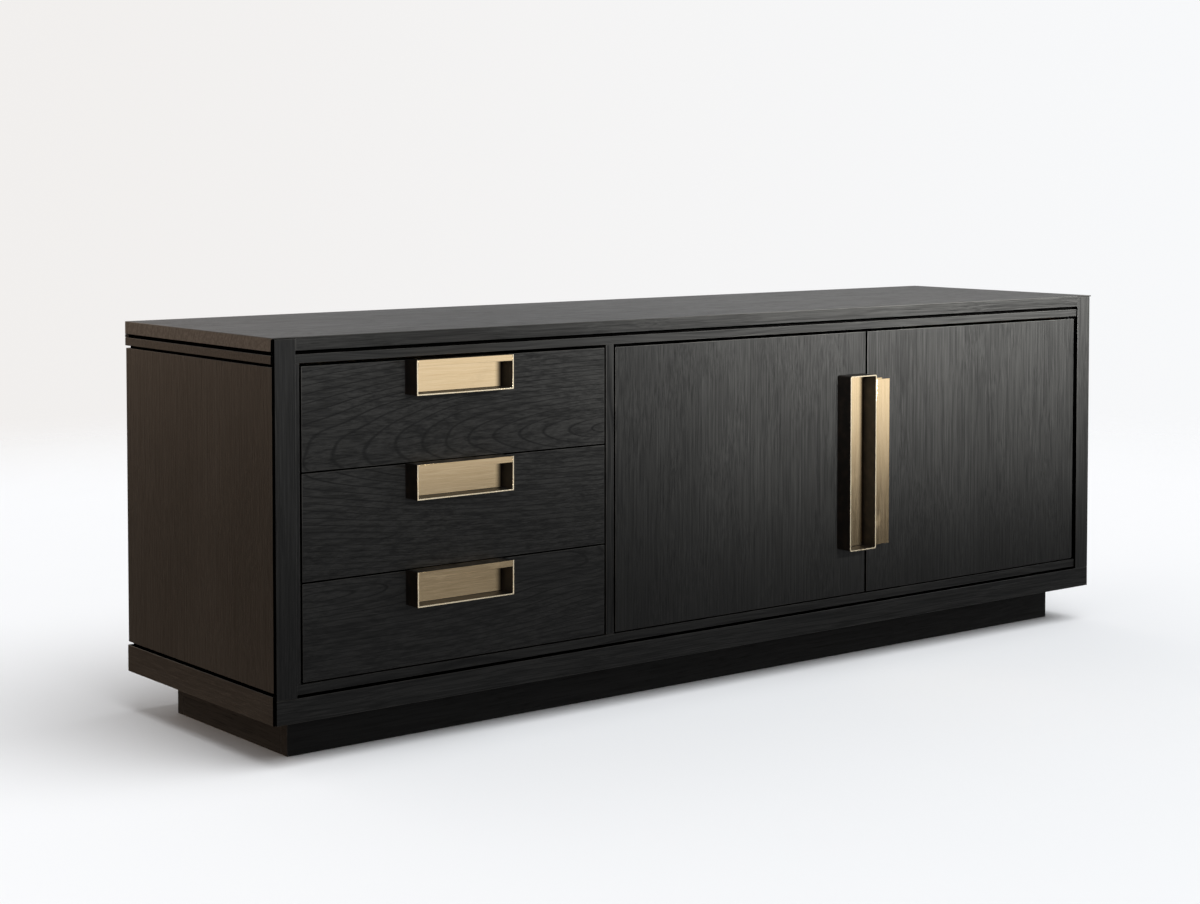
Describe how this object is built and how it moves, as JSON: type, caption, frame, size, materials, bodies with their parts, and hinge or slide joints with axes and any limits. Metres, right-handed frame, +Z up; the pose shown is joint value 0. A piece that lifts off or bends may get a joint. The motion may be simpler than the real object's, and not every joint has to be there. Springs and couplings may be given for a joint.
{
  "type": "sideboard with drawers and doors",
  "caption": "Low black-stained oak sideboard: a bank of drawers beside hinged doors, box-shaped brass pulls, shadow grooves round the frame and a recessed plinth.",
  "frame": {"origin": "on the floor at the middle of the footprint, pulls included", "axes": "+X along the width towards the doors, +Y from the front into the case, +Z up"},
  "size_m": [1.8, 0.495, 0.626],
  "materials": {
    "black_oak": "black stain, brushed grain, satin lacquer",
    "top_oak": "black stain, fine straight grain, satin lacquer",
    "plinth_black": "matt black stain",
    "brass": "brushed and lacquered, polished edges",
    "black_bronze": "blackened, front edges polished bright",
    "steel": "zinc plated",
    "birch_ply": "clear lacquered",
    "catch_plastic": "moulded"
  },
  "bodies": {
    "case": {"back_panel": "black_oak", "bottom_board": "black_oak", "bottom_drawer_left_channel": "steel", "bottom_drawer_right_channel": "steel", "bottom_rail": "black_oak", "centre_partition": "black_oak", "door_catch": "catch_plastic", "left_door_bottom_pivot": "steel", "left_door_top_pivot": "steel", "left_filler_strip": "black_oak", "left_lining": "birch_ply", "left_shelf_cleat": "birch_ply", "left_side_panel": "black_oak", "left_side_rail": "black_oak", "left_stile": "black_oak", "middle_drawer_left_channel": "steel", "middle_drawer_right_channel": "steel", "plinth_back": "plinth_black", "plinth_front": "plinth_black", "plinth_left": "plinth_black", "plinth_right": "plinth_black", "right_door_bottom_pivot": "steel", "right_door_top_pivot": "steel", "right_lining": "birch_ply", "right_shelf_cleat": "birch_ply", "right_side_panel": "black_oak", "right_side_rail": "black_oak", "right_stile": "black_oak", "shelf": "birch_ply", "top_board": "black_oak", "top_drawer_left_channel": "steel", "top_drawer_right_channel": "steel", "top_panel": "top_oak", "top_spacer": "black_oak"},
    "top_drawer": {"top_drawer_front": "black_oak", "top_drawer_box": "birch_ply", "top_drawer_bottom": "birch_ply", "top_drawer_left_runner": "steel", "top_drawer_right_runner": "steel", "top_drawer_pull_surround": "black_bronze", "top_drawer_pull_sheet": "brass"},
    "middle_drawer": {"middle_drawer_front": "black_oak", "middle_drawer_box": "birch_ply", "middle_drawer_bottom": "birch_ply", "middle_drawer_left_runner": "steel", "middle_drawer_right_runner": "steel", "middle_drawer_pull_surround": "black_bronze", "middle_drawer_pull_sheet": "brass"},
    "bottom_drawer": {"bottom_drawer_front": "black_oak", "bottom_drawer_box": "birch_ply", "bottom_drawer_bottom": "birch_ply", "bottom_drawer_left_runner": "steel", "bottom_drawer_right_runner": "steel", "bottom_drawer_pull_surround": "black_bronze", "bottom_drawer_pull_sheet": "brass"},
    "left_door": {"left_door_board": "black_oak", "left_door_pull_surround": "black_bronze", "left_door_pull_plate": "brass"},
    "right_door": {"right_door_board": "black_oak", "right_door_pull": "brass"}
  },
  "joints": [
    {"name": "top_drawer_slide", "type": "slide", "parent": "case", "child": "top_drawer", "axis": [0, -1, 0], "range_m": [0, 0.3]},
    {"name": "middle_drawer_slide", "type": "slide", "parent": "case", "child": "middle_drawer", "axis": [0, -1, 0], "range_m": [0, 0.3]},
    {"name": "bottom_drawer_slide", "type": "slide", "parent": "case", "child": "bottom_drawer", "axis": [0, -1, 0], "range_m": [0, 0.3]},
    {"name": "left_door_hinge", "type": "hinge", "parent": "case", "child": "left_door", "pos_m": [-0.2613, -0.2075, 0.1213], "axis": [0, 0, 1], "range_deg": [-90, 0]},
    {"name": "right_door_hinge", "type": "hinge", "parent": "case", "child": "right_door", "pos_m": [0.8457, -0.2075, 0.1213], "axis": [0, 0, 1], "range_deg": [0, 110]}
  ]
}
